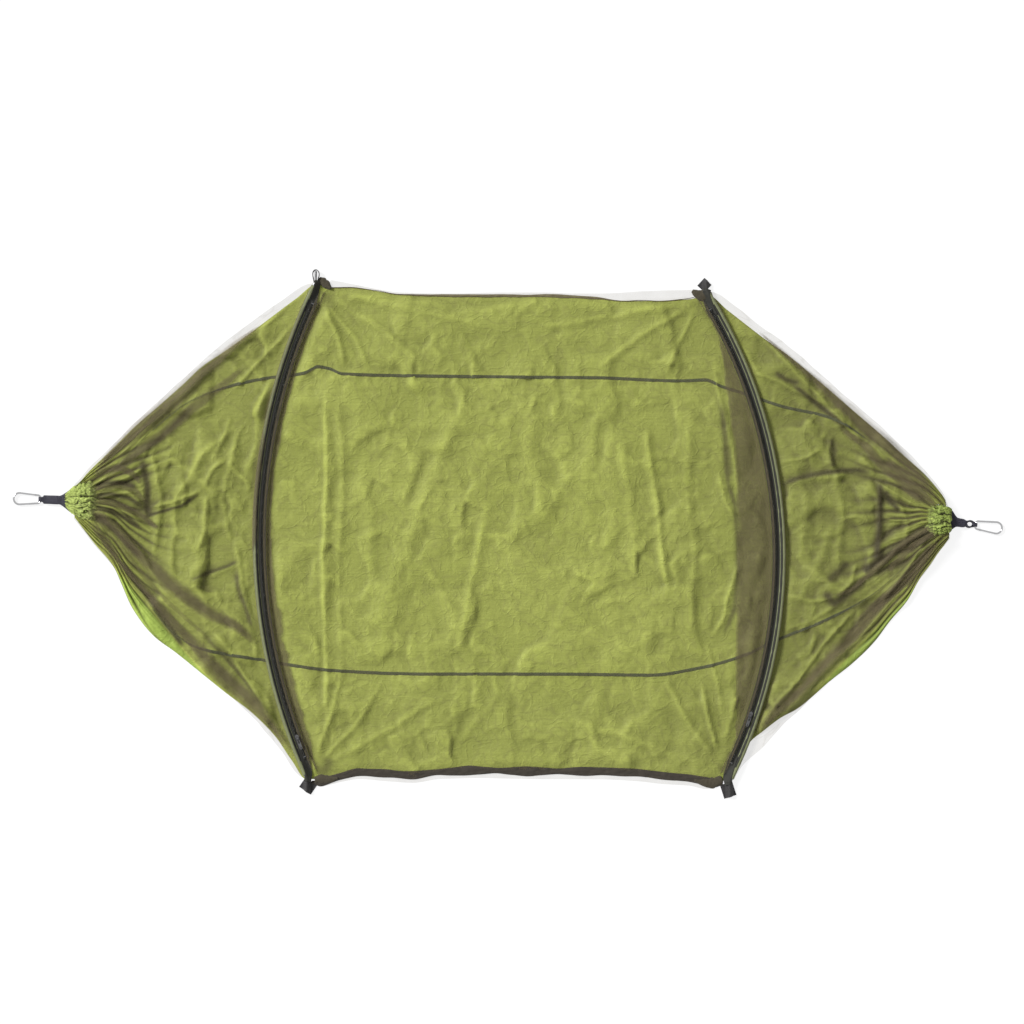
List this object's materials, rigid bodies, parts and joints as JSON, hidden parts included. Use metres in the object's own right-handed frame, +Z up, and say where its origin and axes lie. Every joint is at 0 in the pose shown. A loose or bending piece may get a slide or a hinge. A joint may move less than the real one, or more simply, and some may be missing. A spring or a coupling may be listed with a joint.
{
  "type": "camping hammock with insect net",
  "caption": "Gathered-end cloth camping hammock laid flat, with an insect net held by bowed folding poles, curved zippers, corner tabs, webbing end loops and snap hooks.",
  "frame": {"origin": "on the ground plane under the middle of the bed, on the underside of the bed cloth", "axes": "+X along the sleeping length towards the right snap hook, +Y towards the rear long edge, +Z up from the ground"},
  "size_m": [2.9396, 1.567, 0.046],
  "materials": {
    "bed_cloth": "satin ripstop nylon, faint sheen",
    "gather_cloth": "satin ripstop nylon, bare of net",
    "seam_thread": "matt twisted thread",
    "hem_cloth": "matt folded net and binding",
    "net": "matt fine mesh, see-through",
    "tab_webbing": "matt woven webbing",
    "ferrule": "brushed",
    "sleeve_cloth": "matt woven cloth",
    "pole": "resin and glass fibre",
    "zipper_tape": "matt woven tape",
    "zipper_coil": "nylon coil, soft shine",
    "zipper_metal": "black enamel with worn bright edges",
    "zipper_pull": "black enamel with worn bright edges",
    "strap_webbing": "ribbed woven webbing",
    "bar_tack": "close rows of thread",
    "pin_steel": "brushed",
    "hook_steel": "bright plated wire"
  },
  "bodies": {
    "hammock": {"bed_center_panel": "bed_cloth", "bed_rear_panel": "bed_cloth", "bed_front_panel": "bed_cloth", "seam_thread_rear": "seam_thread", "seam_thread_front": "seam_thread", "gathered_hem_left": "gather_cloth", "gathered_hem_right": "gather_cloth", "net_center_panel": "net", "net_left_panel": "net", "net_right_panel": "net", "net_hem_rear": "hem_cloth", "net_hem_front": "hem_cloth", "corner_tab_left_rear": "tab_webbing", "corner_tab_left_front": "tab_webbing", "corner_tab_right_rear": "tab_webbing", "corner_tab_right_front": "tab_webbing"},
    "pole_arch_left": {"pole_left": "pole", "pole_tips_left": "ferrule", "pole_sleeve_left": "sleeve_cloth", "zipper_tape_inner_left": "zipper_tape", "zipper_tape_outer_left": "zipper_tape", "zipper_coil_inner_left": "zipper_coil", "zipper_coil_outer_left": "zipper_coil", "zipper_stops_left": "zipper_metal"},
    "slider_left": {"zipper_slider_left": "zipper_metal"},
    "pull_left": {"zipper_pull_left": "zipper_pull"},
    "end_strap_left": {"strap_webbing_left": "strap_webbing", "bar_tack_left": "bar_tack"},
    "snap_hook_left": {"snap_hook_body_left": "hook_steel"},
    "snap_gate_left": {"snap_hook_gate_left": "hook_steel", "snap_hook_pin_left": "pin_steel", "snap_hook_spring_left": "pin_steel"},
    "pole_arch_right": {"pole_right": "pole", "pole_tips_right": "ferrule", "pole_sleeve_right": "sleeve_cloth", "zipper_tape_inner_right": "zipper_tape", "zipper_tape_outer_right": "zipper_tape", "zipper_coil_inner_right": "zipper_coil", "zipper_coil_outer_right": "zipper_coil", "zipper_stops_right": "zipper_metal"},
    "slider_right": {"zipper_slider_right": "zipper_metal"},
    "pull_right": {"zipper_pull_right": "zipper_pull"},
    "end_strap_right": {"strap_webbing_right": "strap_webbing", "bar_tack_right": "bar_tack"},
    "snap_hook_right": {"snap_hook_body_right": "hook_steel"},
    "snap_gate_right": {"snap_hook_gate_right": "hook_steel", "snap_hook_pin_right": "pin_steel", "snap_hook_spring_right": "pin_steel"}
  },
  "joints": [
    {"name": "pole_arch_left_fold", "type": "hinge", "parent": "hammock", "child": "pole_arch_left", "pos_m": [-0.595, 0.008, 0.012], "axis": [0.0175, 0.9998, 0], "range_deg": [0, 90]},
    {"name": "zipper_slider_left_travel", "type": "hinge", "parent": "pole_arch_left", "child": "slider_left", "pos_m": [0.9438, -0.01886, 0.012], "axis": [0, 0, 1], "range_deg": [-44.26, 1.26]},
    {"name": "zipper_pull_left_flip", "type": "hinge", "parent": "slider_left", "child": "pull_left", "pos_m": [-0.63549, -0.60933, 0.0186], "axis": [-0.9367, -0.3502, 0], "range_deg": [0, 170]},
    {"name": "end_strap_left_lift", "type": "hinge", "parent": "hammock", "child": "end_strap_left", "pos_m": [-1.273, 0.095, 0.023], "axis": [0.0349, 0.9994, 0], "range_deg": [-45, 90]},
    {"name": "snap_hook_left_swing", "type": "hinge", "parent": "end_strap_left", "child": "snap_hook_left", "pos_m": [-1.39976, 0.09943, 0.0058], "axis": [0.0349, 0.9994, 0], "range_deg": [-120, 120]},
    {"name": "snap_gate_left_open", "type": "hinge", "parent": "snap_hook_left", "child": "snap_gate_left", "pos_m": [-1.41364, 0.11262, 0.0058], "axis": [0, 0, 1], "range_deg": [0, 28], "stiffness_Nm_per_rad": 0.02},
    {"name": "pole_arch_right_fold", "type": "hinge", "parent": "hammock", "child": "pole_arch_right", "pos_m": [0.612, -0.01, 0.012], "axis": [0.0464, -0.9989, 0], "range_deg": [0, 90]},
    {"name": "zipper_slider_right_travel", "type": "hinge", "parent": "pole_arch_right", "child": "slider_right", "pos_m": [-0.67556, -0.06982, 0.012], "axis": [0, 0, 1], "range_deg": [-5.23, 48.23]},
    {"name": "zipper_pull_right_flip", "type": "hinge", "parent": "slider_right", "child": "pull_right", "pos_m": [0.70664, -0.54144, 0.0186], "axis": [-0.9464, 0.3229, 0], "range_deg": [0, 170]},
    {"name": "end_strap_right_lift", "type": "hinge", "parent": "hammock", "child": "end_strap_right", "pos_m": [1.273, 0.038, 0.023], "axis": [-0.1392, -0.9903, 0], "range_deg": [-45, 90]},
    {"name": "snap_hook_right_swing", "type": "hinge", "parent": "end_strap_right", "child": "snap_hook_right", "pos_m": [1.37557, 0.02358, 0.0058], "axis": [-0.1392, -0.9903, 0], "range_deg": [-120, 120]},
    {"name": "snap_gate_right_open", "type": "hinge", "parent": "snap_hook_right", "child": "snap_gate_right", "pos_m": [1.38799, 0.00901, 0.0058], "axis": [0, 0, 1], "range_deg": [0, 28], "stiffness_Nm_per_rad": 0.02}
  ]
}
